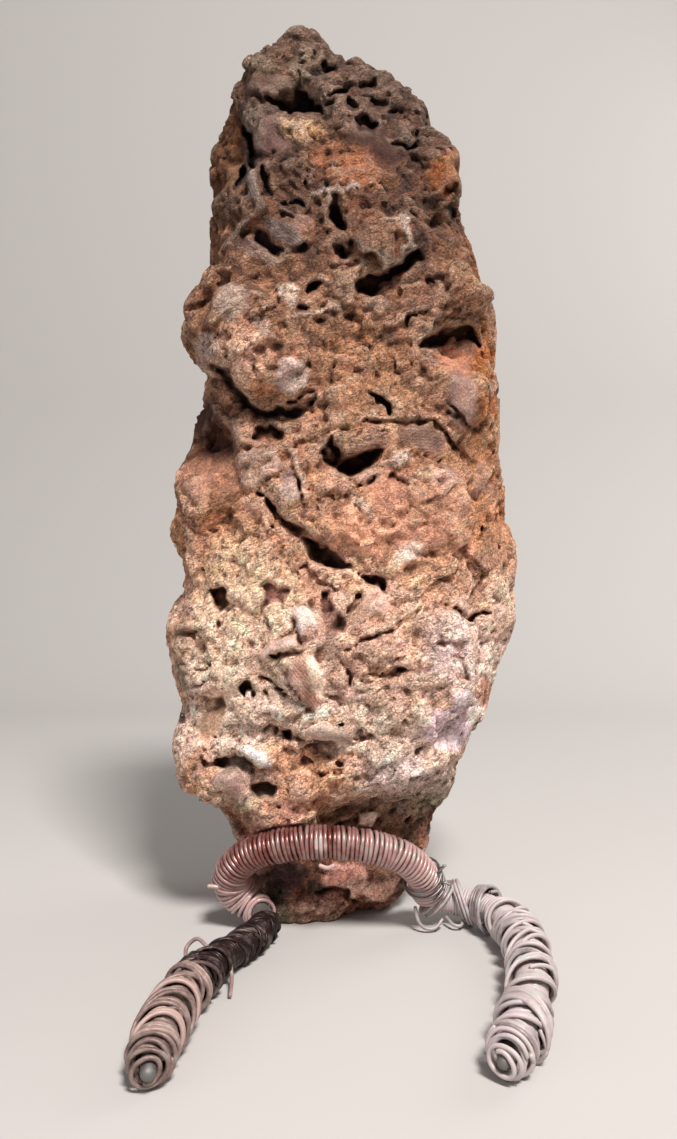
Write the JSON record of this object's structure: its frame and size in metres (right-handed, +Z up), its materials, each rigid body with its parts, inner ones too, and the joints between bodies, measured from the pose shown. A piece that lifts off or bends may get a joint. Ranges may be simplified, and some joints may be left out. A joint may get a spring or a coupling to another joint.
{
  "type": "petrified wood on a wire-wound stand",
  "caption": "Tall rough piece of petrified wood on its own flat foot, its overhanging front held by a low arched rod wound with copper wire, whose legs reach forward.",
  "frame": {"origin": "middle of the stone's flat foot, on the surface that it stands on", "axes": "+Z up, -Y towards the front, where the stand's legs point, +X to the right seen from the front"},
  "size_m": [0.115, 0.1656, 0.2925],
  "materials": {
    "stone": "rough, pitted, unpolished",
    "rod": "dull",
    "copper_wire": "dark brown copper, satin",
    "weathered_wire": "bleached copper, dull",
    "steel_wire": "dull grey"
  },
  "bodies": {
    "root": {"petrified_wood": "stone", "stand_rod": "rod", "arch_winding": "copper_wire", "left_leg_winding": "weathered_wire", "right_leg_winding": "weathered_wire", "tie_wire": "steel_wire"}
  },
  "joints": []
}
